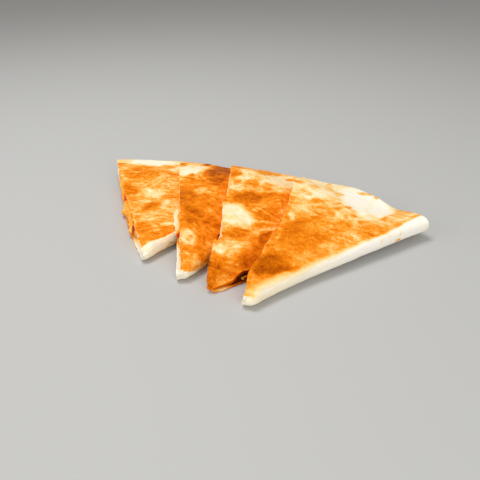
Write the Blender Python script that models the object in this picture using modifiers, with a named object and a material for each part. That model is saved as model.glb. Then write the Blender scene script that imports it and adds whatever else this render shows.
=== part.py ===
"""Quesadilla: four wedges of a folded, toasted tortilla, fanned out one on another.

Metres, +Z up. The wedges' tips point towards -Y, the surface that they lie on is z = 0,
and the origin is on it, under the middle of the whole fan.
"""

from math import atan2, ceil, cos, hypot, pi, radians, sin, sqrt

import bmesh
import bpy
from mathutils import Vector

# The tortilla, and the height of a wedge from its tip out to its round edge
TORTILLA_RADIUS = 0.127      # a 10 inch flour tortilla
SHEET = 0.0020               # thickness of one layer of it
FULL_HEIGHT = 0.0098         # two layers and the filling
RIM_HEIGHT = 0.0043          # where the two layers meet along the round edge
RIM_RUN = 0.042              # the height builds up over this much from the round edge
FOLD_REACH = 0.026           # a springy fold holds the rim up over this much beside it
OPEN_TIP_HEIGHT = 0.0068     # the layers of a wedge with no fold close up at its tip
OPEN_TIP_RUN = 0.030         # over this much

# The filling inside a wedge
FILLING_STOP = 0.018         # it ends this far inside the round edge
FILLING_TAPER = 0.5          # share of its thickness that it loses just before that
FILLING_TAPER_RUN = 0.020    # over this much
FOLD_FILL = 0.9              # share of the fold's inner radius that it fills
LAYER_GAP = 0.0004           # clearance between the filling and the layers round it

# The fan
STACK_GAP = 0.0005           # clearance between a wedge and the one that it lies on
FOLD_SHOULDER = 0.002        # a wedge bends down this far inside a fold that it lies on
CUT_SHOULDER = -0.001        # and this far outside a cut edge that it lies on
SAG = 1.2                    # 1 is a straight slope down from there, more is a sagging one
CURL_START = 0.060           # the first wedge is flat this far from its tip, then curls up

# For each wedge: the place of its tip, the direction of its right-hand edge and its
# opening (degrees), how far its free outer corner stands up, how hollow its left-hand cut
# is, and whether its right-hand edge is the tortilla's fold, squashed flat at its outer end
# by the wedges on top, or a springy fold with nothing on it, or a cut too.
WEDGES = (
    (-0.0613, -0.0450, 54.1, 54.0, 0.0050, 0.0, "squashed fold"),
    (-0.0390, -0.0629, 51.4, 44.5, 0.0, 0.0, "squashed fold"),
    (-0.0245, -0.0704, 36.7, 48.6, 0.0, 0.0, "cut"),
    (-0.0081, -0.0820, 31.0, 40.4, 0.0034, 0.0035, "springy fold"),
)
SPRING = {"squashed fold": 0.0, "cut": 0.0, "springy fold": 0.85}

# The mesh
ALONG = 0.0095               # size of a face on the broad surfaces, along a wedge
ACROSS = 0.0055              # and across it
FOLD_ROWS = 6                # faces round the fold
ARC_STEP = 0.0075            # size of a face along the round edge
CUTTER_MARGIN = 0.010        # how far a cutter stands out above and below what it cuts
FOLD_CLEARANCE = radians(8)  # how far it stands out past a folded edge


def smoothstep(x):
    x = min(max(x, 0.0), 1.0)
    return x * x * (3 - 2 * x)


class Wedge:
    """A wedge of the fan. Local X runs from its tip along its right-hand edge."""

    def __init__(self, number, spec, below):
        x, y, heading, opening, lift, hollow, edge = spec
        self.name = f"slice_{number}"
        self.tip = Vector((x, y))
        self.along = Vector((cos(radians(heading)), sin(radians(heading))))
        self.inward = Vector((-self.along.y, self.along.x))
        self.opening = radians(opening)
        self.lift = lift
        self.hollow = hollow
        self.folded = edge != "cut"
        self.spring = SPRING[edge]
        self.below = below

    def local(self, place):
        offset = place - self.tip
        return offset.dot(self.along), offset.dot(self.inward)

    def height(self, x, y):
        """Height of the wedge: lower towards its round edge, and at a tip with no fold."""
        rim = 1 - smoothstep((TORTILLA_RADIUS - hypot(x, y)) / RIM_RUN)
        rim *= 1 - self.spring * (1 - smoothstep(y / FOLD_REACH))
        tip = 0.0 if self.folded else 1 - smoothstep(hypot(x, y) / OPEN_TIP_RUN)
        rim_drop, tip_drop = FULL_HEIGHT - RIM_HEIGHT, FULL_HEIGHT - OPEN_TIP_HEIGHT
        return FULL_HEIGHT - rim_drop * rim - tip_drop * tip

    def curl(self, x, y):
        """Height of the underside where nothing lies under it."""
        if self.below:
            return self.lift * smoothstep(x / TORTILLA_RADIUS)
        outward = smoothstep((hypot(x, y) - CURL_START) / (TORTILLA_RADIUS - CURL_START))
        leftward = smoothstep(y / max(hypot(x, y), ACROSS) / sin(self.opening))
        return self.lift * outward * leftward

    def underside(self, place):
        """Height of the underside: on the wedge below, or sloping down to its own edge."""
        x, y = self.local(place)
        if not self.below:
            return self.curl(x, y)
        inside = max(y - (FULL_HEIGHT / 2 if self.folded else 0.0), 0.0)
        below_x, below_y = self.below.local(place)
        shoulder = FOLD_SHOULDER if self.below.folded else CUT_SHOULDER
        past_shoulder = max(shoulder - below_y, 0.0)
        share = inside / (inside + past_shoulder) if past_shoulder else 1.0
        rise = 1 - (1 - share) ** SAG
        below_top = self.below.underside(place) + self.below.height(below_x, below_y)
        return self.curl(x, y) * (1 - rise) + (below_top + STACK_GAP) * rise

    def lay(self, point):
        """Take a point of the flat wedge to its place in the fan."""
        radius, angle = hypot(point.x, point.y), atan2(point.y, point.x)
        leftward = min(max(angle / self.opening, 0.0), 1.0)
        inset = self.hollow * leftward ** 2 * sin(pi * min(radius / TORTILLA_RADIUS, 1.0))
        x, y = point.x + inset * sin(angle), point.y - inset * cos(angle)
        place = self.tip + self.along * x + self.inward * y
        return Vector((place.x, place.y, point.z + self.underside(place)))


def new_object(name, bm, collection):
    bmesh.ops.recalc_face_normals(bm, faces=bm.faces)
    mesh = bpy.data.meshes.new(name)
    bm.to_mesh(mesh)
    bm.free()
    obj = bpy.data.objects.new(name, mesh)
    collection.objects.link(obj)
    return obj


def grid(wedge, extra_rows):
    """A flat grid that covers a wedge. A point's x is its column, and its y is its row."""
    columns = ceil(TORTILLA_RADIUS / ALONG) + 1
    rows = ceil(TORTILLA_RADIUS * sin(wedge.opening) / ACROSS) + extra_rows
    bm = bmesh.new()
    bmesh.ops.create_grid(bm, x_segments=columns, y_segments=rows, size=0.5)
    for vert in bm.verts:
        vert.co = ((vert.co.x + 0.5) * columns, (vert.co.y + 0.5) * rows, 0)
    return bm, rows


def fold_sheet(wedge, name, collection):
    """The tortilla as one sheet: along the bottom, round the fold and back on top."""
    flat_rows = ceil(TORTILLA_RADIUS * sin(wedge.opening) / ACROSS)
    bm, rows = grid(wedge, flat_rows + FOLD_ROWS)
    for vert in bm.verts:
        x, turn = vert.co.x * ALONG, vert.co.y - rows / 2
        side = 1 if turn > 0 else -1
        flat = (abs(turn) - FOLD_ROWS / 2) * ACROSS
        if flat > 0:
            tall = wedge.height(x, flat)
            y = tall / 2 + flat
            z = tall / 2 + side * (tall - SHEET) / 2
        else:
            tall = wedge.height(x, 0.0)
            angle = turn / FOLD_ROWS * pi
            y = tall / 2 - (tall - SHEET) / 2 * cos(angle)
            z = tall / 2 + (tall - SHEET) / 2 * sin(angle)
        vert.co = (x, y, z)
    return thicken(new_object(name, bm, collection))


def flat_sheet(wedge, name, collection, on_top):
    """One layer of a wedge that is cut along both edges, standing out past the first."""
    bm, _ = grid(wedge, 2)
    for vert in bm.verts:
        x, y = vert.co.x * ALONG, (vert.co.y - 1) * ACROSS
        tall = wedge.height(x, y)
        vert.co = (x, y, tall - SHEET / 2 if on_top else SHEET / 2)
    return thicken(new_object(name, bm, collection))


def thicken(obj):
    solidify = obj.modifiers.new("Thickness", "SOLIDIFY")
    solidify.thickness = SHEET
    solidify.offset = 0
    solidify.use_even_offset = True
    return obj


def filling(wedge, name, collection):
    """What lies between the layers: rounded inside a fold, set back from an open cut."""
    bm, _ = grid(wedge, 1)
    lower = list(bm.faces)
    bmesh.ops.extrude_face_region(bm, geom=lower, use_keep_orig=True)
    lower_verts = {vert for face in lower for vert in face.verts}
    for vert in bm.verts:
        x, row = vert.co.x * ALONG, vert.co.y
        y = (row + 1) * ACROSS
        if wedge.folded:
            beside_fold = wedge.height(x, 0.0) / 2
            inner = beside_fold - SHEET - LAYER_GAP
            y = wedge.height(x, row * ACROSS) / 2 + (row - 1) * ACROSS
            y = max(y, beside_fold - FOLD_FILL * inner)
        tall = wedge.height(x, y)
        to_end = TORTILLA_RADIUS - FILLING_STOP - hypot(x, y)
        taper = FILLING_TAPER * (1 - smoothstep(to_end / FILLING_TAPER_RUN))
        half = max((tall / 2 - SHEET - LAYER_GAP) * (1 - taper), LAYER_GAP)
        into_fold = tall / 2 - y
        if wedge.folded and into_fold > 0:
            half *= sqrt(1 - (into_fold / (tall / 2 - SHEET - LAYER_GAP)) ** 2)
        vert.co = (x, y, tall / 2 + (-half if vert in lower_verts else half))
    return new_object(name, bm, collection)


def sector(wedge, name, collection, radius):
    """The cutter: everything between a wedge's two edges, out to a radius."""
    start = -FOLD_CLEARANCE if wedge.folded else 0.0
    sweep = wedge.opening - start
    bm = bmesh.new()
    bmesh.ops.create_grid(bm, x_segments=1, y_segments=1, size=0.5)
    for vert in bm.verts:
        along = (vert.co.x + 0.5) * radius
        z = (vert.co.y + 0.5) * (FULL_HEIGHT + 2 * CUTTER_MARGIN) - CUTTER_MARGIN
        vert.co = (along * cos(start), along * sin(start), z)
    bmesh.ops.spin(
        bm, geom=bm.verts[:] + bm.edges[:] + bm.faces[:], cent=(0, 0, 0), axis=(0, 0, 1),
        angle=sweep, steps=ceil(sweep * radius / ARC_STEP),
    )
    bmesh.ops.remove_doubles(bm, verts=bm.verts, dist=1e-6)
    bmesh.ops.dissolve_degenerate(bm, edges=bm.edges, dist=1e-6)
    obj = new_object(name, bm, collection)
    obj.hide_render = True
    obj.display_type = "WIRE"
    return obj


def cut_and_lay(obj, cutter, wedge):
    """Trim a flat piece with its cutter, then lay it in the fan, bent over what is below."""
    trim = obj.modifiers.new("Cuts", "BOOLEAN")
    trim.operation = "INTERSECT"
    trim.solver = "EXACT"
    trim.object = cutter
    evaluated = obj.evaluated_get(bpy.context.evaluated_depsgraph_get())
    trimmed = bpy.data.meshes.new_from_object(evaluated)
    obj.modifiers.clear()
    bm = bmesh.new()
    bm.from_mesh(trimmed)
    bpy.data.meshes.remove(trimmed)
    for vert in bm.verts:
        vert.co = wedge.lay(vert.co)
    bmesh.ops.triangulate(bm, faces=bm.faces, quad_method="SHORT_EDGE")
    bm.to_mesh(obj.data)
    bm.free()
    obj.data.shade_smooth()
    obj.data.set_sharp_from_angle(angle=radians(40))


def material(name, colour, roughness):
    mat = bpy.data.materials.new(name)
    mat.use_nodes = True
    shader = mat.node_tree.nodes["Principled BSDF"]
    shader.inputs["Base Color"].default_value = (*colour, 1)
    shader.inputs["Roughness"].default_value = roughness
    shader.inputs["Metallic"].default_value = 0.0
    return mat


def build():
    for obj in list(bpy.data.objects):
        bpy.data.objects.remove(obj)
    parts = bpy.data.collections.new("quesadilla")
    cutters = bpy.data.collections.new("cutters")
    bpy.context.scene.collection.children.link(parts)
    bpy.context.scene.collection.children.link(cutters)
    toasted = material("toasted_tortilla", (0.74, 0.37, 0.10), 0.65)
    melted = material("melted_filling", (0.85, 0.45, 0.07), 0.40)

    wedge = None
    for number, spec in enumerate(WEDGES, start=1):
        wedge = Wedge(number, spec, below=wedge)
        if wedge.folded:
            layers = [fold_sheet(wedge, f"{wedge.name}_tortilla", parts)]
        else:
            layers = [
                flat_sheet(wedge, f"{wedge.name}_bottom_tortilla", parts, on_top=False),
                flat_sheet(wedge, f"{wedge.name}_top_tortilla", parts, on_top=True),
            ]
        outline = sector(wedge, f"{wedge.name}_outline", cutters, TORTILLA_RADIUS)
        for layer in layers:
            cut_and_lay(layer, outline, wedge)
            layer.data.materials.append(toasted)

        inner_radius = TORTILLA_RADIUS - FILLING_STOP
        inner = sector(wedge, f"{wedge.name}_inner_outline", cutters, inner_radius)
        core = filling(wedge, f"{wedge.name}_filling", parts)
        cut_and_lay(core, inner, wedge)
        core.data.materials.append(melted)


build()
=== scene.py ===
from math import ceil, cos, pi, radians, sin

import bmesh
import bpy
import numpy as np
from mathutils import Matrix, Vector, noise


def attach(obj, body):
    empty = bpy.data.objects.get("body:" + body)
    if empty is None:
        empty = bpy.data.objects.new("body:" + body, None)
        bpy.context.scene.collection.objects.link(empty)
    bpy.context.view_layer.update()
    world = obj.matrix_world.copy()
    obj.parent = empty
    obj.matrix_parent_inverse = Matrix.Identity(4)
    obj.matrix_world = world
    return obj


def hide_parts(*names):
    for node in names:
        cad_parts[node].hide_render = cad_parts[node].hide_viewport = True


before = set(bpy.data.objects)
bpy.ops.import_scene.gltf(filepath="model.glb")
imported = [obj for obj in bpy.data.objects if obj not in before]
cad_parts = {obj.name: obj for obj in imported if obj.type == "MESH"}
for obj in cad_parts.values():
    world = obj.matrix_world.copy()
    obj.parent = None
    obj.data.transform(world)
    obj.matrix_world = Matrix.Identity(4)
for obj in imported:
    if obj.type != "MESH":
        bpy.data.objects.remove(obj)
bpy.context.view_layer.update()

# --- First wedge: the tortilla --------------------------------------------------------------
# The lowest wedge of the fan: flour tortilla folded over the filling, toasted in a pan until
# its high spots browned, then cut to a wedge. It lies on the table and holds up the others.

TORTILLA_RADIUS = 0.127
SHEET = 0.0020               # thickness of one layer
FULL_HEIGHT = 0.0098         # two layers and the filling
RIM_HEIGHT = 0.0043          # where the layers meet along the round edge
RIM_RUN = 0.042              # how far in from there it goes on thickening
FOLD_REACH = 0.026           # how far from it a springy fold holds the round edge open
OPEN_TIP_HEIGHT = 0.0068     # the tip of a wedge without a fold
OPEN_TIP_RUN = 0.030
STACK_GAP = 0.0005           # between a wedge and the one below it
FOLD_SHOULDER = 0.002        # a wedge starts to come down this far past the fold below it,
CUT_SHOULDER = -0.001        # or past the cut below it,
SAG = 1.2                    # and comes down this steeply
CURL_START = 0.060           # the first wedge's corner lifts from this far from its tip
# how much of its height a right-hand edge keeps at the round edge
SPRING = {"squashed fold": 0.0, "cut": 0.0, "springy fold": 0.85}
RIM_WANDER = 0.0008          # how uneven the round edge is
RIM_ROUNDING = 0.0006        # how far the middle of its thickness stands out
CUT_ROUNDING = 0.0002        # and that of a cut's
TEAR = 0.00045               # how far a cut's larger tears stand out,
SMALL_TEAR = 0.00025         # and its smaller ones
TEAR_START = 0.006           # a tip isn't torn
TIP_WANDER = 0.0006
TIP_SLANT = 0.0014           # how far its outside stands out past its inside
PRESSED_TIP_RUN = 0.0055     # how far the layers are pressed together from the tip,
SOLID_TIP_RUN = 0.011        # and how far it is dough all through
CREASE = 0.00012             # how far a wrinkle stands out
BROWNING = 60                # how much more a high spot is toasted, for each metre that it is up
FACE = 0.0011                # size of a face on the broad surfaces
TIP_GATHER = 1.2             # faces get smaller towards the tip, where the wedge is narrow
WALL_ROWS = 3                # rows of corners across the thickness of a cut edge


def smoothstep(x):
    x = np.clip(x, 0.0, 1.0)
    return x * x * (3 - 2 * x)


def between(low, high, share):
    return low + (high - low) * share


class Wedge:
    """A wedge of the fan. Local x runs from its tip along its right-hand edge, local y
    across it towards its left-hand cut, and z up from its underside."""

    def __init__(self, name, tip, heading, opening, edge, lift=0.0, hollow=0.0, below=None,
                 swells=()):
        self.name = name
        self.tip = np.array(tip)
        self.along = np.array((cos(radians(heading)), sin(radians(heading))))
        self.inward = np.array((-self.along[1], self.along[0]))
        self.opening = radians(opening)
        self.lift = lift
        self.hollow = hollow
        self.folded = edge != "cut"
        self.spring = SPRING[edge]
        self.below = below
        self.swells = swells

    def local(self, place):
        offset = place - self.tip
        return offset @ self.along, offset @ self.inward

    def height(self, x, y):
        """Its thickness, which comes down to the round edge, and to the tip of an open wedge."""
        rim = 1 - smoothstep((TORTILLA_RADIUS - np.hypot(x, y)) / RIM_RUN)
        rim *= 1 - self.spring * (1 - smoothstep(y / FOLD_REACH))
        tip = 0.0 if self.folded else 1 - smoothstep(np.hypot(x, y) / OPEN_TIP_RUN)
        rim_drop, tip_drop = FULL_HEIGHT - RIM_HEIGHT, FULL_HEIGHT - OPEN_TIP_HEIGHT
        return FULL_HEIGHT - rim_drop * rim - tip_drop * tip

    def swollen(self, x, y):
        """Its height where steam has puffed it up too, or where it has sunk."""
        tall = self.height(x, y)
        for middle_x, middle_y, reach, rise in self.swells:
            distance = np.hypot(x - middle_x / 1000, y - middle_y / 1000) * 1000
            tall = tall + rise / 1000 * (1 - smoothstep(distance / reach))
        return tall

    def cut_end(self, radius, cut):
        """Where its left-hand edge is, at a distance from the tip, if it stands out by a cut."""
        return (radius * cos(self.opening) - cut * sin(self.opening),
                radius * sin(self.opening) + cut * cos(self.opening))

    def curl(self, x, y):
        """How far it has lifted off the table."""
        if self.below:
            return self.lift * smoothstep(x / TORTILLA_RADIUS)
        outward = smoothstep((np.hypot(x, y) - CURL_START) / (TORTILLA_RADIUS - CURL_START))
        leftward = smoothstep(y / np.maximum(np.hypot(x, y), 0.0055) / sin(self.opening))
        return self.lift * outward * leftward

    def underside(self, place):
        """The height of its underside, which leans on the wedge below it."""
        x, y = self.local(place)
        if not self.below:
            return self.curl(x, y)
        inside = np.maximum(y - (FULL_HEIGHT / 2 if self.folded else 0.0), 0.0)
        below_x, below_y = self.below.local(place)
        shoulder = FOLD_SHOULDER if self.below.folded else CUT_SHOULDER
        past_shoulder = np.maximum(shoulder - below_y, 0.0)
        slope = inside / np.maximum(inside + past_shoulder, 1e-9)
        rise = 1 - (1 - np.where(past_shoulder > 0, slope, 1.0)) ** SAG
        below_top = self.below.underside(place) + self.below.height(below_x, below_y)
        return between(self.curl(x, y), below_top + STACK_GAP, rise)

    def lay(self, flat):
        """Take points of the flat wedge to their places in the fan."""
        radius, angle = np.hypot(flat[:, 0], flat[:, 1]), np.arctan2(flat[:, 1], flat[:, 0])
        leftward = np.clip(angle / self.opening, 0.0, 1.0)
        bow = np.sin(pi * np.minimum(radius / TORTILLA_RADIUS, 1.0))
        inset = self.hollow * leftward ** 2 * bow
        x, y = flat[:, 0] + inset * np.sin(angle), flat[:, 1] - inset * np.cos(angle)
        place = self.tip + np.outer(x, self.along) + np.outer(y, self.inward)
        return np.column_stack((place, flat[:, 2] + self.underside(place)))


def lumps(x, y, z, size, octaves=1):
    """Smooth unevenness of about -1 to 1, whose lumps are about `size` across."""
    points = np.column_stack(np.broadcast_arrays(x, y, z)) / size
    if octaves == 1:
        return np.array([noise.noise(point) for point in points.tolist()])
    return np.array([noise.fractal(point, 0.9, 2.1, octaves) for point in points.tolist()])


def sheet_block(columns, rows):
    """A unit block that becomes a sheet: x along, y across, z from its inside to its outside."""
    bm = bmesh.new()
    bmesh.ops.create_grid(bm, x_segments=columns, y_segments=rows, size=0.5)
    bmesh.ops.translate(bm, vec=(0.5, 0.5, 0.0), verts=bm.verts)
    outside = bmesh.ops.extrude_face_region(bm, geom=bm.faces[:], use_keep_orig=True)["geom"]
    outside = [part for part in outside if isinstance(part, bmesh.types.BMVert)]
    bmesh.ops.translate(bm, vec=(0.0, 0.0, 1.0), verts=outside)
    walls = [edge for edge in bm.edges if edge.verts[0].co.z != edge.verts[1].co.z]
    bmesh.ops.subdivide_edges(bm, edges=walls, cuts=WALL_ROWS, use_grid_fill=True)
    mesh = bpy.data.meshes.new("block")
    bm.to_mesh(mesh)
    bm.free()
    return mesh


def corners(mesh):
    """The places of a mesh's corners, one row for each."""
    co = np.empty(len(mesh.vertices) * 3)
    mesh.vertices.foreach_get("co", co)
    return co.reshape(-1, 3)


def place_corners(mesh, places):
    """Move them, and turn its faces outwards."""
    mesh.vertices.foreach_set("co", places.ravel())
    bm = bmesh.new()
    bm.from_mesh(mesh)
    bmesh.ops.recalc_face_normals(bm, faces=bm.faces)
    bm.to_mesh(mesh)
    bm.free()
    mesh.shade_smooth()


def roundness(out):
    """How far through a thickness, from its faces at 0 and 1, as the height of a half circle."""
    return np.sqrt(np.maximum(1 - (2 * out - 1) ** 2, 0.0))


def round_edge(around, out, seed):
    """The tortilla's radius, at a place round it and through its thickness."""
    wander = RIM_WANDER * lumps(around * 6, seed, 0.0, 1.0)
    return TORTILLA_RADIUS + wander - RIM_ROUNDING * (1 - roundness(out))


def tears(radius, edge, out, seed):
    """How far the torn dough of a cut stands out."""
    torn = TEAR * lumps(radius, edge, seed + 0.3, 0.004, 2)
    torn += SMALL_TEAR * lumps(radius, edge + out * 0.002, seed + 0.4, 0.0012)
    return torn


def arc_to_cut(radius, y, share, x_end, y_end):
    """x on an arc round the tip, whose last third bends to end at the cut."""
    on_arc = np.sqrt(np.maximum(radius ** 2 - y ** 2, 0.0))
    to_cut = x_end - np.sqrt(np.maximum(radius ** 2 - y_end ** 2, 0.0))
    return on_arc + to_cut * smoothstep(share * 3 - 2)


def mark(mesh, name, values):
    """Give a mesh an attribute, for its material to read."""
    mesh.attributes.new(name, "FLOAT", "POINT").data.foreach_set("value", values)


def new_piece(name, mesh, material):
    mesh.name = name
    mesh.materials.append(material)
    piece = bpy.data.objects.new(name, mesh)
    bpy.context.scene.collection.objects.link(piece)
    return piece


def relief(x, s, seed, calm):
    """How far a toasted tortilla's outside stands out: broad swells, blisters and grain."""
    swells = 0.00045 * lumps(x, s, seed, 0.022)
    blisters = 0.00060 * np.maximum(lumps(x, s, seed + 1.0, 0.0075, 2) - 0.05, 0.0)
    grain = 0.00007 * lumps(x, s, seed + 2.0, 0.0016, 2)
    return (swells + blisters) * calm + grain


def creases(x, y, seed, folds):
    """Fine wrinkles, about -1 to 1, that fan out from a place or run round it."""
    pattern = 0 * x
    for middle_x, middle_y, reach, spacing, fanned in folds:
        across, up = x - middle_x / 1000, y - middle_y / 1000
        distance, angle = np.hypot(across, up) * 1000, np.arctan2(up, across)
        cover = 1 - smoothstep((distance / reach - 0.5) / 0.5)
        if fanned:
            cover = cover * smoothstep(distance / 5)
            lines = lumps(angle * reach * 0.6 / spacing, distance * 0.04, seed, 1.0)
        else:
            lines = lumps(distance / spacing + angle * 0.8, angle * 0.9, seed, 1.0)
        pattern = pattern + cover * np.clip(lines * 2.2, -1, 1)
    return pattern


def paint(level, x, y, patches, seed):
    """Brown or bleach patches of a toasting level: place, size, turn, level and strength."""
    wander_x = x + 0.0022 * lumps(x, y, seed + 5.0, 0.009, 2)
    wander_y = y + 0.0022 * lumps(x, y, seed + 6.0, 0.009, 2)
    for middle_x, middle_y, length, width, turn, patch_level, strength in patches:
        across, up = wander_x - middle_x / 1000, wander_y - middle_y / 1000
        turned = across * cos(radians(turn)) + up * sin(radians(turn))
        beside = up * cos(radians(turn)) - across * sin(radians(turn))
        reach = np.hypot(turned / length, beside / width) * 1000
        cover = strength * (1 - smoothstep((reach - 0.55) / 0.75))
        level = between(level, patch_level, cover)
    return level


def along_cut(radius, points):
    """A distance in metres that is given in mm at some distances from the tip, in mm."""
    distances, values = zip(*points)
    return np.interp(radius * 1000, distances, values) / 1000


def folded_sheet(wedge, seed, base, patches, folds, top_cut, bottom_cut, stains, blunt,
                 flare, fold_line, fold_blur, fold_marks, material):
    """The tortilla of a wedge as one sheet: along the bottom, round the fold, back on top.
    Its cuts and their stains run along the left-hand edge, its flare and white line along
    the fold. A patch or mark of toast has a place of its own."""
    columns = ceil(TORTILLA_RADIUS / FACE * 1.1)
    rows = 2 * ceil((TORTILLA_RADIUS * sin(wedge.opening) + 0.003) / FACE)
    mesh = sheet_block(columns, rows)
    u, v, out = corners(mesh).T
    turn = np.abs(2 * v - 1)
    side = np.where(v >= 0.5, 1.0, -1.0)

    # the round edge and the left-hand cut wander, and the bottom of the cut is torn more
    start = blunt + TIP_WANDER * lumps(turn * side * 2, seed, 0.0, 0.4)
    start += TIP_SLANT * (out ** 2 - 0.5)
    radius = between(start, round_edge(turn * side, out, seed), u ** TIP_GATHER)
    torn = tears(radius, side * 0.01, out, seed)
    torn *= np.where(side > 0, 1.0, 1.0 + 0.7 * smoothstep((radius - 0.008) / 0.008))
    cut = np.where(side > 0, along_cut(radius, top_cut), along_cut(radius, bottom_cut))
    cut = cut + torn * smoothstep(radius / TEAR_START) + CUT_ROUNDING * roundness(out)

    # the way round the fold is an arc, then flat up to the cut, and the tip is nearly solid
    half = wedge.height(radius, 0.0) / 2
    hollow = smoothstep((radius - start) / SOLID_TIP_RUN)
    depth = (1 - out) * between(0.97 * half, SHEET, hollow)
    arc = half * pi / 2
    x_end, y_end = wedge.cut_end(radius, cut)
    flat_end = y_end - half
    for _ in range(3):
        flat_end = y_end - wedge.height(x_end, np.maximum(flat_end, 0.0)) / 2
    arc_end = np.arccos(np.clip((half - y_end) / np.maximum(half - depth, 1e-6), 0.0, 1.0))
    only_arc = flat_end <= 0
    s = turn * np.where(only_arc, half * arc_end, arc + flat_end)
    bend = np.minimum(s / half, pi / 2)
    flat = np.maximum(s - arc, 0.0) * ~only_arc
    along = np.sqrt(np.maximum(radius ** 2 - (half + flat) ** 2, 0.0))
    puffed = wedge.swollen(along, half + flat) - wedge.height(along, half + flat)
    tall = np.where(flat > 0, wedge.height(along, flat) + puffed, 2 * half)

    # toasting raised the top, and hardly the bottom, which stays within its flat underside
    calm = np.where(side > 0, 1.0, 0.35) * smoothstep((s - 0.5 * arc) / arc + 0.25)
    wrinkles = creases(along, half + flat, seed + 9.0, folds) * (side > 0) * (flat > 0)
    puckers = 0.00022 * lumps(along * 0.35, s * side * 1.4, seed + 7.0, 0.0035, 2)
    raised = relief(along, s * side, seed, calm) + CREASE * wrinkles + puckers * (1 - calm)
    raised = np.where((side < 0) & (bend > 1.2), -np.abs(raised), raised)

    # the tip is pressed flatter and rounded off, and the fold flares where it isn't pressed
    pressed = smoothstep((radius - start) / PRESSED_TIP_RUN)
    shell = tall / 2 - depth + raised * out
    y = np.where(bend < pi / 2, tall / 2 - shell * np.cos(bend), tall / 2 + flat)
    y = np.minimum(y, y_end)
    z = tall / 2 + side * shell * np.sin(bend) * between(0.72, 1.0, pressed)
    x = arc_to_cut(radius, y, y / np.maximum(y_end, 1e-6), x_end, y_end)
    rounding = (1 - (x_end / radius) ** 2) * (y / y_end) ** 2
    oval = radius * np.sqrt(np.maximum(1 - rounding, 0.0))
    x = between(oval, x, smoothstep((radius - 0.006) / 0.008))
    z -= (1 - pressed) * 0.0006
    y -= along_cut(x, flare) * (1 - smoothstep((y - 0.003) / 0.009))

    # how toasted each place is: its top as painted, its underside all over, its fold hardly
    wander = 0.0004 * lumps(x, s * side, seed + 8.0, 0.006)
    below_line = along_cut(x, fold_line) + wander - s * side
    white = smoothstep(below_line / along_cut(x, fold_blur) + 0.5)
    under = 0.45 + 0.25 * lumps(x, y, seed + 3.0, 0.020, 2)
    top = paint(base + 0 * x, x, y, patches, seed) + 0.08 * wrinkles
    toast = np.where(side > 0, top, under)
    cream = 0.15 * (1 - smoothstep((x - 0.010) / 0.070))
    toast = between(toast, cream, white * smoothstep((s * side + 0.012) / 0.003))
    toast = paint(toast, x, s * side, fold_marks, seed + 4.0)
    toast += BROWNING * np.maximum(raised, 0.0) * (toast > 0.15)
    even = smoothstep(below_line / 0.004 + 1.0) * smoothstep(along_cut(x, fold_blur) * 250 - 0.5)
    mark(mesh, "toast", np.where(out == 1, toast, along_cut(radius, stains) * 1000))
    mark(mesh, "inside", np.where(out == 1, 0.75 * even, 1.0))
    place_corners(mesh, wedge.lay(np.column_stack((x, y, z))))
    return new_piece(f"{wedge.name}_toasted_tortilla", mesh, material)


def linear(red, green, blue):
    """A colour as it is read off a screen, 0 to 255, to the light that a shader works in."""
    return tuple(((part / 255 + 0.055) / 1.055) ** 2.4 if part > 10 else part / 3294.6
                 for part in (red, green, blue))


class Wire:
    """A shader socket that sums can be written with."""

    def __init__(self, tree, socket):
        self.tree, self.socket = tree, socket

    def node(self, kind, settings, sockets, output=0):
        node = self.tree.nodes.new("ShaderNode" + kind)
        for name, value in settings.items():
            if name == "stops":
                ramp = node.color_ramp.elements
                for element, (position, colour) in zip(ramp, (value[0], value[-1])):
                    element.position, element.color = position, (*colour, 1)
                for position, colour in value[1:-1]:
                    ramp.new(position).color = (*colour, 1)
            else:
                setattr(node, name, value)
        for name, value in sockets.items():
            if isinstance(value, Wire):
                self.tree.links.new(value.socket, node.inputs[name])
            else:
                node.inputs[name].default_value = value
        return Wire(self.tree, node.outputs[output])

    def maths(self, operation, *values):
        return self.node("Math", {"operation": operation}, dict(enumerate(values)))

    def __add__(self, other):
        return self.maths("ADD", self, other)

    def __sub__(self, other):
        return self.maths("SUBTRACT", self, other)

    def __rsub__(self, other):
        return self.maths("SUBTRACT", other, self)

    def __mul__(self, other):
        return self.maths("MULTIPLY", self, other)

    __radd__, __rmul__ = __add__, __mul__

    def step(self, low, high):
        """0 below low, 1 above high, and a soft rise between."""
        return self.node("MapRange", {"interpolation_type": "SMOOTHSTEP"},
                         {"Value": self, "From Min": low, "From Max": high})

    def coloured(self, stops):
        """A colour for each height of this, from 0 to 1."""
        return self.node("ValToRGB", {"stops": stops}, {"Fac": self})

    def blend(self, first, second):
        """The first colour where this is 0, the second where it is 1."""
        return self.node("Mix", {"data_type": "RGBA"}, {0: self, 6: first, 7: second}, 2)

    def grain(self, size, detail=2.0, rough=0.55, drift=0.0):
        """Noise about 0, on this as a place, whose grains are about `size` metres across."""
        settings = {"noise_dimensions": "3D"}
        sockets = {"Vector": self, "Scale": 1 / size, "Detail": detail, "Roughness": rough,
                   "Distortion": drift}
        return self.node("TexNoise", settings, sockets) - 0.5


def new_material(name):
    """A material, the wire to start its sums from, and its surface shader."""
    material = bpy.data.materials.new(name)
    material.use_nodes = True
    tree = material.node_tree
    surface = tree.nodes["Principled BSDF"]
    place = Wire(tree, tree.nodes.new("ShaderNodeTexCoord").outputs["Object"])
    return material, place, surface


def join(wire, surface, socket):
    wire.tree.links.new(wire.socket, surface.inputs[socket])


TOASTING = (
    (0.00, linear(253, 247, 234)), (0.14, linear(254, 241, 213)), (0.26, linear(254, 222, 161)),
    (0.38, linear(252, 192, 106)), (0.50, linear(248, 152, 40)), (0.62, linear(234, 127, 16)),
    (0.76, linear(208, 106, 6)), (0.88, linear(172, 78, 4)), (1.00, linear(80, 26, 2)),
)


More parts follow.
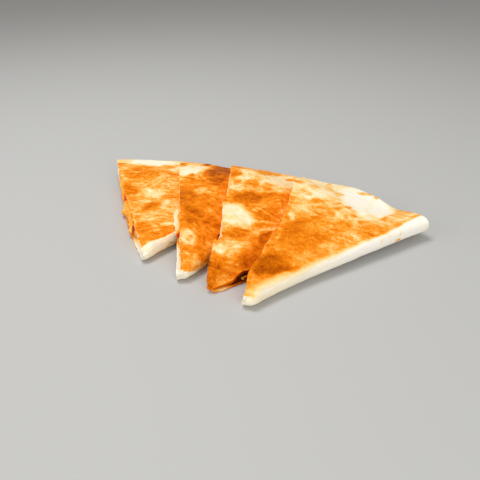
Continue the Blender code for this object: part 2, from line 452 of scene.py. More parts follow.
def toasted_tortilla(name, seed, blotchy, speckled, veined, streaked):
    """Flour tortilla: cream where it stayed pale, then golden, orange and brown. The toasting
    comes as an attribute of the mesh, and is made uneven here in four sizes."""
    material, place, surface = new_material(name)
    place = place.node("VectorMath", {"operation": "ADD"}, {0: place, 1: (seed, seed, seed)})
    rolled = place.node("Mapping", {}, {"Vector": place, "Scale": (0.62, 1.0, 1.0)})
    toast = place.node("Attribute", {"attribute_name": "toast"}, {}, 2)
    inside = place.node("Attribute", {"attribute_name": "inside"}, {}, 2)
    blotches = rolled.grain(0.0058, 3.0, 0.6, 0.8)
    speckles = rolled.grain(0.0019, 3.0, 0.65, 0.4)
    flecks = place.grain(0.0009, 2.0)
    veins = 1 - rolled.grain(0.0062, 2.0, 0.5, 0.6).maths("ABSOLUTE").step(0.0, 0.05)
    slant = rolled.node("VectorMath", {"operation": "DOT_PRODUCT"}, {0: rolled, 1: [1 / 3] * 3}, 1)
    bands = rolled.node("TexVoronoi", {}, {"Vector": slant + speckles * 0.0008, "Scale": 310.0})
    streaks = (1 - bands.step(0.12, 0.42)) * rolled.grain(0.0090, 1.0).step(-0.06, 0.12)
    lively = toast.step(0.06, 0.42) * (1 - toast.step(0.6, 0.95) * 0.4) * (1 - inside)
    uneven = blotches * blotchy + speckles * speckled + flecks * 0.25 - veins * veined
    level = toast + (lively * 0.9 + 0.1) * (uneven + streaks * streaked)
    join(level.coloured(TOASTING), surface, "Base Color")
    join(0.66 - level.step(0.3, 0.8) * 0.16, surface, "Roughness")
    surface.inputs["Specular IOR Level"].default_value = 0.02
    surface.inputs["Subsurface Weight"].default_value = 0.08
    surface.inputs["Subsurface Radius"].default_value = (0.0016, 0.0010, 0.0005)
    surface.inputs["Subsurface Scale"].default_value = 1.0
    height = blotches * 0.6 + speckles * 0.5 + flecks * 0.4 + inside * place.grain(0.0007, 3.0)
    bump = place.node("Bump", {}, {"Height": height, "Distance": 0.00045, "Strength": 0.5})
    join(bump, surface, "Normal")
    return material


first = Wedge("slice_1", (-0.0613, -0.0450), 54.1, 54.0, "squashed fold", lift=0.0050,
              swells=((74, 103, 40, 2.0),))
# each patch: along, across, length, width (mm), turn (degrees), toasting, strength
first_patches = (
    (89, 82, 23, 10, -48, 0.12, 1.0),
    (76, 98, 8, 6, -40, 0.28, 0.9),
    # painted shade: a thin dark brown line beside the pale strip at the round edge, where the
    # layers meet
    (72, 93, 7, 1.8, -62, 0.66, 0.9),
    (94, 87, 7, 2.2, -52, 0.32, 0.7),
    (88, 67, 6.5, 4.5, 30, 0.54, 0.9),
    (69, 69, 16, 12, 60, 0.55, 0.95),
    (45, 58, 14, 4.5, 52, 0.60, 0.9),
    (60, 60, 7, 4, -50, 0.42, 0.6),
    (53, 42, 6, 11, 15, 0.24, 0.9),
    (61, 46, 4, 7, 0, 0.48, 0.7),
    (38, 32, 7, 4, -10, 0.64, 0.9),
    (38, 42, 8, 5, 50, 0.50, 0.8),
    (30, 27, 4, 5, 0, 0.36, 0.6),
    (46, 26, 8, 2.2, 30, 0.26, 0.8),
    (57, 32, 5, 7, 40, 0.56, 0.8),
    (40, 13, 12, 3, 35, 0.34, 0.7),
    (20, 27, 6, 5, 50, 0.44, 0.5),
    (16, 16, 7, 4, 50, 0.63, 0.85),
    (22, 4, 8, 5, 0, 0.64, 0.9),
    (10, 5, 10, 4, 10, 0.58, 0.85),
    (28, 9, 2, 4, 20, 0.30, 0.7),
    (80, 50, 6, 3, 35, 0.58, 0.8),
    (91, 57, 8, 4, 20, 0.24, 0.9),
)
first_cut = ((0, 0.0), (10, 0.2), (30, 0.0), (105, 0.2), (127, -0.4))
first_bottom_cut = ((0, -0.2), (6, 0.4), (14, 1.3), (28, 1.4), (31, 2.8), (40, 2.8), (50, 2.6),
                    (60, 2.5), (76, 1.5), (85, 1.9), (104, 0.8), (115, 0.4), (127, -0.4))
first_stains = ((0, 0.06), (14, 0.08), (20, 0.20), (28, 0.46), (40, 0.62), (52, 0.54), (66, 0.46),
                (80, 0.44), (98, 0.46), (106, 0.30), (113, 0.12), (127, 0.16))
first_tortilla = folded_sheet(
    first, seed=11.0, base=0.45, patches=first_patches, folds=(), top_cut=first_cut,
    bottom_cut=first_bottom_cut, stains=first_stains, blunt=0.0030,
    flare=((0, 0.0), (12, 0.3), (20, 1.2), (28, 2.0), (45, 0.0), (127, 0.0)),
    fold_line=((0, 6.8), (5, 6.8), (16, 4.8), (30, 5.0)), fold_blur=((0, 0.8), (127, 0.8)),
    fold_marks=((18, -2.0, 12, 1.1, 3, 0.36, 0.9),),
    material=toasted_tortilla("toasted_tortilla_first", seed=0.31, blotchy=0.62, speckled=0.72,
                              veined=0.20, streaked=0.05),
)
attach(first_tortilla, "root")
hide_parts("slice_1_tortilla")

# --- First wedge: the filling ---------------------------------------------------------------
# Melted yellow cheese with a little red sauce, squeezed out of the long cut in soft lumps
# that set as they cooled.

FILLING_START = 0.011        # how far from the tip of a folded wedge it begins,
OPEN_FILLING_START = 0.014   # and from the tip of one without a fold
FILLING_STOP = 0.018         # it ends this far inside the round edge
FILLING_FACE = 0.0016
FILLING_GAP = 0.0001         # between it and the layers
FILLING_ROUNDING = 0.0006    # how far the middle of its thickness stands out at the cut
FILLING_FOLD_INSET = 0.0026  # how far it stays inside a fold,
FILLING_CUT_INSET = 0.0065   # and inside a right-hand cut
SQUEEZE_UNEVENNESS = 0.00035
SKIN_FACE = 0.00060          # size of a face of its skin


def melted(mesh, seed, unevenness):
    """Run the lumps of a filling together into one soft, uneven skin."""
    piece = bpy.data.objects.new("melting", mesh)
    bpy.context.scene.collection.objects.link(piece)
    skin = piece.modifiers.new("Skin", "REMESH")
    skin.mode, skin.voxel_size = "VOXEL", SKIN_FACE
    soft = piece.modifiers.new("Soft", "SMOOTH")
    soft.factor, soft.iterations = 0.5, 3
    evaluated = piece.evaluated_get(bpy.context.evaluated_depsgraph_get())
    result = bpy.data.meshes.new_from_object(evaluated)
    bpy.data.objects.remove(piece)
    places = corners(result)
    normals = np.empty(len(places) * 3)
    result.vertices.foreach_get("normal", normals)
    x, y, z = places.T
    broad, fine = lumps(x, y, z + seed, 0.0040, 2), lumps(x, y, z, 0.0012)
    swelling = unevenness * broad + 0.25 * unevenness * fine
    return result, places + normals.reshape(-1, 3) * swelling[:, None]


def filling(wedge, seed, squeezed, blobs, sauce, material):
    """What lies between the layers of a wedge, squeezed out of its left-hand cut, with blobs
    of it there: along the cut, outward, up, length, width and height, all in mm."""
    columns = ceil(TORTILLA_RADIUS / FILLING_FACE)
    rows = ceil(TORTILLA_RADIUS * sin(wedge.opening) / FILLING_FACE)
    mesh = sheet_block(columns, rows)
    u, v, out = corners(mesh).T
    start = FILLING_START if wedge.folded else OPEN_FILLING_START
    radius = between(start, TORTILLA_RADIUS - FILLING_STOP, u)
    cut = along_cut(radius, squeezed) + FILLING_ROUNDING * (roundness(out) - 0.5)
    x_end, y_end = wedge.cut_end(radius, cut)
    inset = FILLING_FOLD_INSET
    if not wedge.folded:
        inset = FILLING_CUT_INSET + 0.0015 * lumps(radius, seed, 0.0, 0.006)
    y = between(inset, y_end, v)
    x = arc_to_cut(radius, y, v, x_end, y_end)
    tall = wedge.swollen(x, np.maximum(y - FULL_HEIGHT / 2, 0.0))
    half = np.maximum(tall / 2 - SHEET - FILLING_GAP, 0.0004)
    into_fold = np.clip(1 - y / np.maximum(tall / 2, 1e-6), 0.0, 0.95) if wedge.folded else 0
    half = half * np.sqrt(1 - into_fold ** 2)
    z = tall / 2 + half * (2 * out - 1)
    place_corners(mesh, np.column_stack((x, y, z)))
    bm = bmesh.new()
    bm.from_mesh(mesh)
    for along, outward, up, length, width, height in blobs:
        lump = bmesh.ops.create_uvsphere(bm, u_segments=16, v_segments=10, radius=0.001)["verts"]
        bmesh.ops.scale(bm, vec=(length, width, height), verts=lump)
        place = Vector((along, outward, up)) / 1000
        bmesh.ops.translate(bm, vec=place, verts=lump)
        bmesh.ops.rotate(bm, matrix=Matrix.Rotation(wedge.opening, 3, "Z"), verts=lump)
    bm.to_mesh(mesh)
    bm.free()
    mesh, places = melted(mesh, seed, SQUEEZE_UNEVENNESS)
    x, y, _ = places.T
    mark(mesh, "sauce", paint(0.10 + 0.35 * lumps(x, y, seed, 0.008, 2), x, y, sauce, seed))
    mesh.vertices.foreach_set("co", wedge.lay(places).ravel())
    mesh.shade_smooth()
    return new_piece(f"{wedge.name}_melted_filling", mesh, material)


CHEESE = (
    (0.0, linear(238, 136, 22)), (0.4, linear(248, 166, 38)), (0.75, linear(252, 192, 84)),
    (1.0, linear(253, 226, 166)),
)
SAUCE = (
    (0.0, linear(248, 150, 28)), (0.4, linear(240, 110, 18)), (0.7, linear(226, 78, 14)),
    (1.0, linear(150, 52, 10)),
)


def melted_cheese(name):
    """Cheese from pale yellow to orange, red-brown where the sauce has run into it."""
    material, place, surface = new_material(name)
    sauce = place.node("Attribute", {"attribute_name": "sauce"}, {}, 2)
    marbling = place.grain(0.0035, 3.0, 0.6, 0.8)
    cheese = (marbling * 2.2 + 0.45).coloured(CHEESE)
    level = sauce + place.grain(0.0022, 3.0, 0.6) * 0.9
    join(level.step(0.28, 0.50).blend(cheese, level.coloured(SAUCE)), surface, "Base Color")
    join(0.34 + place.grain(0.0020, 2.0) * 0.25, surface, "Roughness")
    surface.inputs["Specular IOR Level"].default_value = 0.15
    surface.inputs["Subsurface Weight"].default_value = 0.15
    surface.inputs["Subsurface Radius"].default_value = (0.0030, 0.0016, 0.0005)
    surface.inputs["Subsurface Scale"].default_value = 1.0
    height = marbling + place.grain(0.0010, 3.0) * 0.4
    bump = place.node("Bump", {}, {"Height": height, "Distance": 0.00050, "Strength": 0.5})
    join(bump, surface, "Normal")
    return material


first_filling = filling(
    first, seed=5.0,
    squeezed=((11, -0.6), (24, -0.2), (30, 1.6), (38, 2.0), (48, 1.0), (56, 2.2), (62, 2.4),
              (70, 1.2), (90, 1.0), (109, 0.2)),
    blobs=((33, 1.6, 3.8, 3.4, 2.2, 2.0), (37, 1.2, 5.4, 2.6, 1.8, 1.6),
           (45, 0.8, 4.6, 4.0, 1.8, 2.2), (52, 1.2, 5.0, 3.0, 2.0, 2.2),
           (58.5, 2.6, 3.4, 3.2, 2.4, 1.9), (62, 1.4, 5.4, 3.2, 1.8, 2.0),
           (71, 1.0, 5.4, 4.5, 1.8, 2.2), (80, 0.8, 5.8, 4.0, 1.6, 2.0),
           (88, 0.8, 6.2, 4.4, 1.4, 1.8)),
    # along, across, length, width (mm), turn (degrees), amount of sauce, strength
    sauce=((17.6, 24.3, 2.2, 2.4, 54, 1.0, 1.0), (41, 57, 5, 2.2, 54, 0.72, 1.0),
           (35, 48, 5, 3, 54, 0.20, 0.9), (31, 42, 3, 4, 54, 0.32, 0.9),
           (26, 35, 4, 4, 54, 0.0, 1.0), (53, 73, 12, 5, 54, 0.24, 0.9)),
    material=melted_cheese("melted_cheese_first"),
)
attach(first_filling, "root")
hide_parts("slice_1_filling")

# --- Second wedge: the tortilla -------------------------------------------------------------
# It lies half on the first wedge, and was toasted the most: brown all over but for a cream
# strip at the back, with only the blunt tip of its fold left white.

second = Wedge("slice_2", (-0.0390, -0.0629), 51.4, 44.5, "squashed fold", below=first,
               swells=((100, 76, 22, 0.8),))
second_patches = (
    (80, 69, 20, 11.5, 40, 0.18, 1.0),
    (94, 66, 10, 4.5, 30, 0.22, 0.95),
    (92, 77, 10, 3, 42, 0.34, 0.85),
    (71, 58, 3, 2.2, 0, 0.60, 0.8),
    (88, 84, 8, 2.8, 45, 0.62, 0.9),
    (81, 91, 6, 6, 0, 0.10, 0.9),
    (102, 73, 5, 3, 45, 0.86, 0.95),
    (106, 69, 6, 2.4, 40, 0.32, 0.9),
    (94, 53, 24, 9.5, 30, 0.85, 0.95),
    (80, 43, 15, 6.5, 33, 0.79, 0.9),
    (45, 42, 11, 9, 50, 0.73, 0.9),
    (62, 55, 6, 3.5, 30, 0.64, 0.8),
    (61, 62, 8, 2.6, 45, 0.36, 0.8),
    (57, 38, 4, 6, 60, 0.36, 0.85),
    (63, 33, 5, 3, 30, 0.42, 0.6),
    (36, 24, 9, 5, 40, 0.72, 0.8),
    (46, 22, 4, 3, 0, 0.44, 0.7),
    (40, 16, 5, 2.5, 0, 0.76, 0.8),
    (41, 11, 4, 2, 0, 0.80, 0.8),
    (21, 14, 7, 4.5, 20, 0.28, 0.9),
    (22, 13.5, 2.2, 1.5, 0, 0.50, 0.9),
    (30, 7, 10, 4, 20, 0.58, 0.8),
    (12, 1.5, 5, 2.5, 20, 0.38, 0.8),
    (35, 5, 4, 1.2, 20, 0.95, 0.8),
    (8, 6, 8, 4, 40, 0.50, 0.8),
)
second_cut = ((0, 1.0), (8, 0.4), (20, 0.0), (127, 0.0))
second_bottom_cut = ((0, 2.4), (8, 2.8), (14, 1.8), (24, 2.1), (30, 1.5), (36, 2.6), (44, 3.3),
                     (56, 3.4), (62, 1.0), (75, 0.4), (127, 0.0))
second_stains = ((0, 0.06), (22, 0.10), (28, 0.50), (34, 0.30), (44, 0.18), (60, 0.22), (80, 0.40),
                 (127, 0.20))
second_tortilla = folded_sheet(
    second, seed=23.0, base=0.58, patches=second_patches,
    # wrinkles: along, across, reach, spacing, and whether they fan out from there
    folds=((84, 44, 26, 2.0, False), (30, 12, 12, 2.0, True)),
    top_cut=second_cut, bottom_cut=second_bottom_cut, stains=second_stains, blunt=0.0034,
    flare=((0, 0.6), (9, 0.6), (25, 0.2), (127, 0.0)),
    fold_line=((0, 3.8), (3, 3.6), (23, -11.0)), fold_blur=((0, 0.9), (127, 0.9)),
    fold_marks=(),
    material=toasted_tortilla("toasted_tortilla_second", seed=0.57, blotchy=0.62, speckled=0.62,
                              veined=0.06, streaked=0.08),
)
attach(second_tortilla, "root")
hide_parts("slice_2_tortilla")

# --- Second wedge: the filling --------------------------------------------------------------
# The same cheese, seen between the layers in the middle of the cut, where a drop of it with
# sauce hangs out.

second_filling = filling(
    second, seed=6.0,
    squeezed=((11, 0.2), (24, 0.6), (32, 0.6), (40, 0.4), (54, 0.6), (62, 0.2), (109, -0.4)),
    blobs=((32, 1.2, 3.6, 2.2, 1.6, 1.8), (28.5, 0.6, 3.2, 1.8, 1.3, 1.3),
           (44, 0.4, 5.4, 5.0, 1.2, 1.2)),
    sauce=((19.5, 20, 2.6, 2, 45, 0.95, 1.0), (23, 23.5, 3, 2.4, 45, 0.26, 0.9),
           (34, 34, 9, 4, 45, 0.0, 1.0)),
    material=melted_cheese("melted_cheese_second"),
)
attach(second_filling, "root")
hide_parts("slice_2_filling")

# --- Third wedge: the two layers of tortilla ------------------------------------------------
# This wedge comes from the middle of the half moon, so both of its edges are knife cuts. Its
# two layers are pressed together at the tip, and part along the right-hand cut.

CUT_TIP = 0.0022             # how far back its tip is cut off
CORNER_TRIM = 0.0030         # and how much its left-hand corner is short of the round edge


def cut_sheet(wedge, seed, standing, thickness, base, patches, folds, left_cut, right_cut, stains,
              material):
    """One layer of a wedge that is cut along both edges. The top layer has a standing height
    along its right-hand edge; the bottom one has none."""
    columns = ceil(TORTILLA_RADIUS / FACE * 1.1)
    rows = ceil(TORTILLA_RADIUS * wedge.opening / FACE)
    mesh = sheet_block(columns, rows)
    u, v, out = corners(mesh).T
    end = round_edge(v, out, seed) - CORNER_TRIM * smoothstep((v - 0.80) / 0.20)
    radius = between(CUT_TIP - 0.0004 * roundness(out), end, u ** TIP_GATHER)
    torn = tears(radius, np.round(v), out, seed)
    torn = torn * smoothstep(radius / TEAR_START) + CUT_ROUNDING * roundness(out)
    left = (torn + along_cut(radius, left_cut)) * smoothstep(v * 4 - 3)
    right = (torn + along_cut(radius, right_cut)) * smoothstep(1 - v * 4)
    angle = wedge.opening * v
    x = radius * np.cos(angle) - left * sin(wedge.opening)
    y = radius * np.sin(angle) + left * cos(wedge.opening) - right
    tall = wedge.swollen(x, y)
    on_top = bool(standing)
    if on_top:
        # near the tip it is pressed down onto the bottom layer, further on it stands open
        wander = 0.0012 * lumps(x, seed, 0.0, 0.004)
        edge_height = np.minimum(along_cut(x, standing), tall)
        tall = between(edge_height, tall, smoothstep((y - wander + 0.0008) / 0.0055))
    wrinkles = creases(x, y, seed + 9.0, folds)
    raised = relief(x, y, seed, 1.0 if on_top else 0.35) + CREASE * wrinkles
    raised = raised if on_top else -np.abs(raised)
    inward = (1 - out) * np.minimum(thickness, 0.46 * tall) - raised * out
    z = tall - inward if on_top else inward
    toast = paint(base + 0 * x, x, y, patches, seed) + 0.08 * wrinkles
    toast += BROWNING * np.maximum(raised, 0.0) * (toast > 0.15)

    # the cut edges are stained by the pan and the sauce, and so is the inside near them; where the
    # layers part along the right-hand cut, their edges and the inside there are darkened further
    # with painted shade of the gap
    left_stain = between(0.70, 0.24, smoothstep((radius - 0.003) / 0.006))
    stain_and_shade = between(along_cut(radius, stains) * 1000, left_stain, smoothstep(v * 4 - 2))
    # painted shade: the inside faces along the right-hand cut go dark brown, for the sauce and for
    # the shade of the gap between the layers
    sauced_and_shaded = (out == 0) * smoothstep((radius - 0.008) / 0.006) * (1 - smoothstep(v * 4 - 1))
    stain_and_shade = between(stain_and_shade, 0.96, sauced_and_shaded)
    mark(mesh, "toast", np.where(out == 1, toast, stain_and_shade))
    mark(mesh, "inside", np.where(out == 1, 0.0, 1.0))
    place_corners(mesh, wedge.lay(np.column_stack((x, y, z))))
    layer = "top" if on_top else "bottom"
    return new_piece(f"{wedge.name}_{layer}_toasted_tortilla", mesh, material)


third = Wedge("slice_3", (-0.0245, -0.0704), 36.7, 48.6, "cut", below=second,
              swells=((85, 95, 38, -1.9), (70, 78, 20, -1.4), (114, 53, 24, 2.1)))
third_patches = (
    (50, 50, 14, 7, 30, 0.38, 0.8),
    (66, 57, 12, 5, 20, 0.24, 0.85),
    (80, 50, 16, 9, 35, 0.26, 0.9),
    (96, 54, 20, 10, 33, 0.21, 0.95),
    (79, 35, 7, 4, 10, 0.30, 0.85),
    (72, 28.5, 5, 4, 0, 0.42, 0.7),
    (86, 88, 22, 12, 40, 0.40, 0.7),
    (57, 38, 17, 5.5, -12, 0.76, 0.95),
    (69, 30, 10, 6, 0, 0.60, 0.8),
    (73, 44, 5, 4, 0, 0.60, 0.8),
    (36, 27, 11, 11, 45, 0.24, 1.0),
    (39, 34, 8, 6, 0, 0.20, 0.9),
    (53, 21, 13, 7, 30, 0.62, 0.85),
    (60, 20, 5, 4, 30, 0.66, 0.8),
    (55, 29, 5, 2.5, 0, 0.42, 0.7),
    (48, 12, 6, 4, 30, 0.38, 0.7),
    (42, 9, 6, 3, 25, 0.76, 0.85),
    (20, 10.5, 9.5, 5, -15, 0.38, 0.95),
    (14, 12, 4, 3, 0, 0.31, 0.8),
    (28, 17.5, 9, 2.6, -12, 0.70, 0.85),
    (5, 5, 8, 5, 45, 0.70, 0.9),
    (4, 7, 4, 2, 50, 0.82, 0.9),
    (10, 0, 8, 2, 0, 0.52, 0.8),
    (22, 1, 10, 3, 0, 0.66, 0.8),
    (31, 5, 7, 3.5, 0, 0.56, 0.7),
    (57, 53, 4, 2, 0, 0.60, 0.85),
    (60, 60, 5, 2.2, 10, 0.62, 0.85),
    (90, 66, 11, 3.4, 38, 0.53, 0.9),
    (105, 54.5, 5, 2.4, -11, 0.46, 0.9),
    (30, 3, 11, 3.4, 10, 0.72, 0.8),
    (107, 64, 6, 2, 20, 0.46, 0.8),
    (104, 56, 6, 2, 10, 0.50, 0.8),
    (84, 60, 7, 1.6, 36, 0.46, 0.8),
)
third_cut = ((0, 1.5), (8, 1.4), (16, 0.6), (21.5, 0.3), (24.5, -3.6), (32, -3.2), (40, -2.3),
             (48, -1.4), (57, -0.6), (62, -2.4), (84, -2.6), (100, -1.0), (127, 0.0))
third_bottom_cut = ((0, 1.5), (8, 1.4), (20, 0.8), (30, -0.8), (60, -0.8), (80, -1.2), (127, 0.0))
third_right_cut = ((0, 0.0), (4, 0.4), (9, 1.0), (30, 1.0), (60, 0.8), (127, 0.4))
third_bottom_right_cut = ((0, 0.0), (3, 0.2), (8, 1.6), (14, 1.8), (21, 2.6), (28, 2.2), (34, 0.6),
                          (127, 0.3))
# the right-hand cut's edge colours from the tip: stains of the pan and the sauce, and from about
# 14 to 50 mm painted shade of the gap where the layers part
third_stains_and_shade = ((0, 0.70), (6, 0.80), (14, 0.72), (20, 0.97), (27, 0.99), (40, 0.80), (127, 0.18))
third_bottom_stains_and_shade = ((0, 0.62), (6, 0.34), (10, 0.40), (14, 0.72), (20, 0.88), (50, 0.84),
                       (127, 0.18))
# how high the top layer stands above the underside along its right-hand cut
third_standing = ((0, 3.5), (13, 3.5), (17, 6.2), (19, 6.6), (23, 5.6), (27, 7.0), (32, 9.3),
                  (37, 9.9), (127, 9.9))
third_material = toasted_tortilla("toasted_tortilla_third", seed=0.83, blotchy=0.62,
                                  speckled=0.62, veined=0.10, streaked=0.10)
third_bottom = cut_sheet(
    third, seed=37.0, standing=(), thickness=0.0014, base=0.42, patches=(), folds=(),
    left_cut=third_bottom_cut, right_cut=third_bottom_right_cut, stains=third_bottom_stains_and_shade,
    material=third_material,
)
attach(third_bottom, "root")
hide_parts("slice_3_bottom_tortilla")
third_top = cut_sheet(
    third, seed=41.0, standing=third_standing, thickness=0.0018, base=0.52,
    patches=third_patches, folds=((60, 12, 30, 1.7, True),), left_cut=third_cut,
    right_cut=third_right_cut, stains=third_stains_and_shade, material=third_material,
)
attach(third_top, "root")
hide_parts("slice_3_top_tortilla")

# --- Third wedge: the filling ---------------------------------------------------------------
# Set back from the open right-hand cut, dark with sauce there, with bits of cheese in front.

third_filling = filling(
    third, seed=7.0,
    squeezed=((14, -0.4), (22, -1.0), (28, -3.2), (60, -3.0), (84, -3.4), (109, -2.0)),
    # the last four are the bits in the right-hand cut, which is far inward of the left-hand one
    blobs=((24, -0.8, 4.4, 2.2, 1.4, 1.6), (29, -2.2, 4.8, 2.4, 1.2, 1.6),
           (12.6, -15.4, 1.9, 1.3, 0.9, 0.7), (14.0, -17.0, 2.2, 1.2, 1.0, 0.8),
           (16.0, -18.4, 2.5, 1.5, 1.2, 1.0), (19.0, -20.5, 3.0, 2.2, 1.5, 1.2)),
    sauce=((30, 6, 14, 5, 0, 0.85, 1.0), (60, 10, 30, 6, 0, 0.9, 1.0),
           (17, 19, 5, 3, 45, 0.75, 1.0), (24, 23, 4, 3, 45, 0.5, 0.9),
           (19.5, -0.3, 2.2, 1.6, 0, 0.0, 1.0), (25, 0, 3, 2, 0, 0.45, 0.9)),
    material=melted_cheese("melted_cheese_third"),
)
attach(third_filling, "root")
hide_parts("slice_3_filling")

# --- Fourth wedge: the tortilla -------------------------------------------------------------
# The uppermost wedge. Nothing lies on it, so its fold stays round and springy, and shows its
# whole length of white dough that the pan didn't touch, beside the toasted top.

fourth = Wedge("slice_4", (-0.0081, -0.0820), 31.0, 40.4, "springy fold", lift=0.0034,
               hollow=0.0035, below=third, swells=((113, 48, 28, 3.2), (121, 37, 10, 0.9)))
fourth_patches = (
    (62, 54, 10, 6, 20, 0.24, 0.9),
    (64, 44, 9, 6, 0, 0.36, 0.9),
    (64, 34, 14, 6, 0, 0.38, 0.8),
    (88, 64, 30, 15, 42, 0.25, 1.0),
    (102, 56, 20, 26, 30, 0.23, 1.0),
    (80, 44, 13, 7, 0, 0.20, 1.0),
    (84, 27, 11, 13, 10, 0.33, 0.95),
    (109, 34, 22, 18, 30, 0.05, 1.0),
    (98, 20, 11, 6, 0, 0.10, 0.9),
    (48, 22, 17, 8, 8, 0.63, 0.9),
    (44, 25, 6, 5, 0, 0.74, 0.8),
    (64, 18, 14, 9, 0, 0.51, 0.9),
    (45, 13, 16, 4.5, 0, 0.63, 0.8),
    (20, 10, 13, 5.5, -10, 0.80, 0.95),
    (27, 5, 8, 2.4, -10, 0.86, 0.85),
    (47.5, 33, 3.4, 2.0, 35, 0.28, 0.9),
    (33, 21.5, 2.4, 1.0, 38, 0.32, 0.7),
    (82, 9, 24, 4.5, 3, 0.46, 0.95),
    (91, 16, 12, 4, 8, 0.28, 0.8),
    (113, 11, 20, 5, 4, 0.32, 0.95),
    (105, 14, 4, 1.8, 10, 0.48, 0.9),
    (7, 3, 6, 3, 20, 0.46, 0.8),
    (69, 48, 2.4, 5, -30, 0.44, 0.8),
    (70, 43.5, 2.4, 2, -15, 0.52, 0.9),
    (80, 51, 5.5, 3.2, 30, 0.40, 0.9),
    (93, 52, 7, 3.4, 40, 0.33, 0.8),
    (94, 44.5, 6, 3, 30, 0.34, 0.8),
    (92, 72, 12, 3, 50, 0.34, 0.8),
    (104, 64, 10, 2.6, 48, 0.32, 0.8),
    (71, 57, 5, 1.8, -8, 0.54, 0.95),
    (69, 62, 4, 1.8, 10, 0.58, 0.9),
    (70, 37.5, 5.5, 1.8, -15, 0.56, 0.95),
    (82.5, 32.4, 4.4, 1.8, -5, 0.55, 0.95),
    (80, 28.3, 3.8, 1.5, -12, 0.50, 0.9),
    (88, 28, 3, 2, 0, 0.54, 0.9),
    (71, 31.5, 4.6, 1.5, -16, 0.57, 0.9),
    (73.5, 27.7, 2.2, 2.8, -45, 0.56, 0.9),
    (80, 21.5, 1.6, 2.8, -40, 0.48, 0.9),
    (85, 20, 6, 1.3, 49, 0.46, 0.9),
    (87.7, 13.4, 5, 1.7, -14, 0.53, 0.95),
    (99, 18, 4, 1.6, 0, 0.24, 0.8),
    (103, 28, 12, 1.6, 40, 0.17, 0.8),
    (116, 43, 5, 1.8, -30, 0.46, 0.95),
    (120, 37.5, 2.4, 2, 0, 0.46, 0.9),
    (114.5, 34.6, 2.2, 1.3, -16, 0.24, 0.8),
    (113, 56, 4, 1.6, -50, 0.34, 0.7),
)
fourth_cut = ((0, 2.0), (6, 2.3), (12, 2.5), (17, 2.2), (20, 1.4), (24, 0.4), (30, 0.6), (34, 0.0),
              (39, -0.6), (44, -1.6), (54, -2.0), (60, -1.7), (75, -0.5), (90, 0.0), (127, 0.0))
fourth_bottom_cut = ((0, 3.0), (6, 3.0), (11, 3.0), (17, 1.6), (24, 0.2), (32, -0.2), (44, -1.6),
                     (60, -1.7), (90, 0.0), (127, 0.0))
fourth_stains = ((0, 0.08), (5, 0.14), (9, 0.58), (22, 0.64), (32, 0.30), (60, 0.24), (127, 0.20))
fourth_tortilla = folded_sheet(
    fourth, seed=59.0, base=0.50, patches=fourth_patches, folds=(), top_cut=fourth_cut,
    bottom_cut=fourth_bottom_cut, stains=fourth_stains, blunt=0.0030,
    flare=((0, 2.4), (5, 3.2), (10, 2.2), (20, 1.0), (30, 0.4), (40, 0.0), (127, 0.0)),
    fold_line=((0, 3.0), (6, 5.4), (15, 6.2), (25, 5.0), (32, 4.4), (50, 4.6), (61, 4.7),
               (78, 5.2), (94, 5.2), (113, 7.6), (120, 8.8)),
    fold_blur=((0, 7.5), (30, 7.5), (60, 5.0), (90, 2.6), (127, 2.0)),
    fold_marks=((102, -0.4, 3.2, 1.4, 0, 0.46, 0.95), (90, 1.6, 1.8, 1.2, 60, 0.20, 0.9),
                (95, 3.0, 1.4, 1.6, 60, 0.20, 0.9), (104, 3.4, 2.2, 1.2, 20, 0.20, 0.9),
                (125, -1.0, 2.6, 3.0, 0, 0.20, 0.8)),
    material=toasted_tortilla("toasted_tortilla_fourth", seed=1.13, blotchy=0.55, speckled=0.52,
                              veined=0.06, streaked=0.20),
)
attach(fourth_tortilla, "root")
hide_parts("slice_4_tortilla")

# --- Fourth wedge: the filling --------------------------------------------------------------
# Hardly seen: it only shows in the cut, with a thread of sauce where this wedge lies on the
# third.

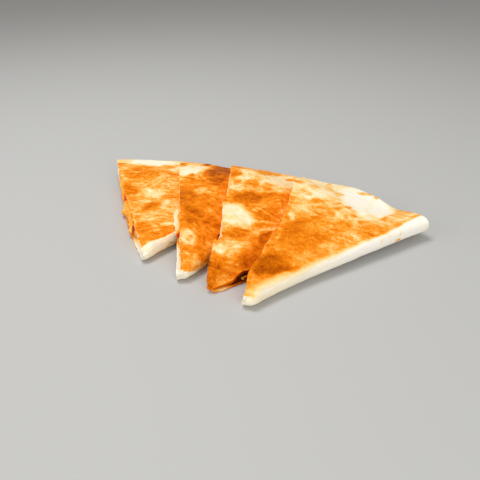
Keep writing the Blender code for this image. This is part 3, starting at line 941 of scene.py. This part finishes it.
fourth_filling = filling(
    fourth, seed=8.0,
    squeezed=((11, 1.4), (20, 0.8), (30, 0.2), (44, -1.8), (60, -1.9), (75, -0.6), (109, 0)),
    blobs=((16, 1.4, 4.6, 4.0, 1.3, 2.2),),
    sauce=((26, 22, 12, 4, 40, 0.7, 1.0), (10, 8, 5, 4, 40, 0.45, 1.0)),
    material=melted_cheese("melted_cheese_fourth"),
)
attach(fourth_filling, "root")
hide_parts("slice_4_filling")

# --- The table, the light and the camera ----------------------------------------------------
# A plain pale table top under soft lamps.

bm = bmesh.new()
bmesh.ops.create_grid(bm, x_segments=1, y_segments=1, size=4.0)
table_mesh = bpy.data.meshes.new("table")
bm.to_mesh(table_mesh)
bm.free()
table_material, _, table_surface = new_material("table")
table_surface.inputs["Base Color"].default_value = (0.50, 0.50, 0.49, 1)
table_surface.inputs["Roughness"].default_value = 0.7
new_piece("table", table_mesh, table_material)


def lamp(name, place, aim, size, power):
    data = bpy.data.lights.new(name, "AREA")
    data.shape, data.size, data.energy = "DISK", size, power
    light = bpy.data.objects.new(name, data)
    light.location = place
    light.rotation_euler = (Vector(aim) - Vector(place)).to_track_quat("-Z", "Y").to_euler()
    bpy.context.scene.collection.objects.link(light)


lamp("key_lamp", (-0.18, 0.14, 0.80), (0, 0, 0), 0.40, 3.65)
lamp("fill_lamp", (0.30, -0.85, 0.45), (0, 0, 0), 0.80, 4.15)
lamp("side_lamp", (-0.75, -0.40, 0.28), (0, 0, 0), 0.60, 2.1)
world = bpy.data.worlds.new("room")
world.use_nodes = True
world.node_tree.nodes["Background"].inputs["Color"].default_value = (1.0, 0.98, 0.95, 1)
world.node_tree.nodes["Background"].inputs["Strength"].default_value = 0.41
bpy.context.scene.world = world
bpy.context.scene.view_settings.view_transform = "Standard"

ELEVATION, DISTANCE = radians(31.49), 0.2872
camera_data = bpy.data.cameras.new("camera")
camera_data.lens, camera_data.sensor_width = 36.74, 36.0
camera_data.clip_start = 0.01
camera = bpy.data.objects.new("camera", camera_data)
camera.location = (-0.0095, -0.0186 - DISTANCE * cos(ELEVATION), DISTANCE * sin(ELEVATION))
camera.rotation_euler = (pi / 2 - ELEVATION, 0, 0)
bpy.context.scene.collection.objects.link(camera)
bpy.context.scene.camera = camera
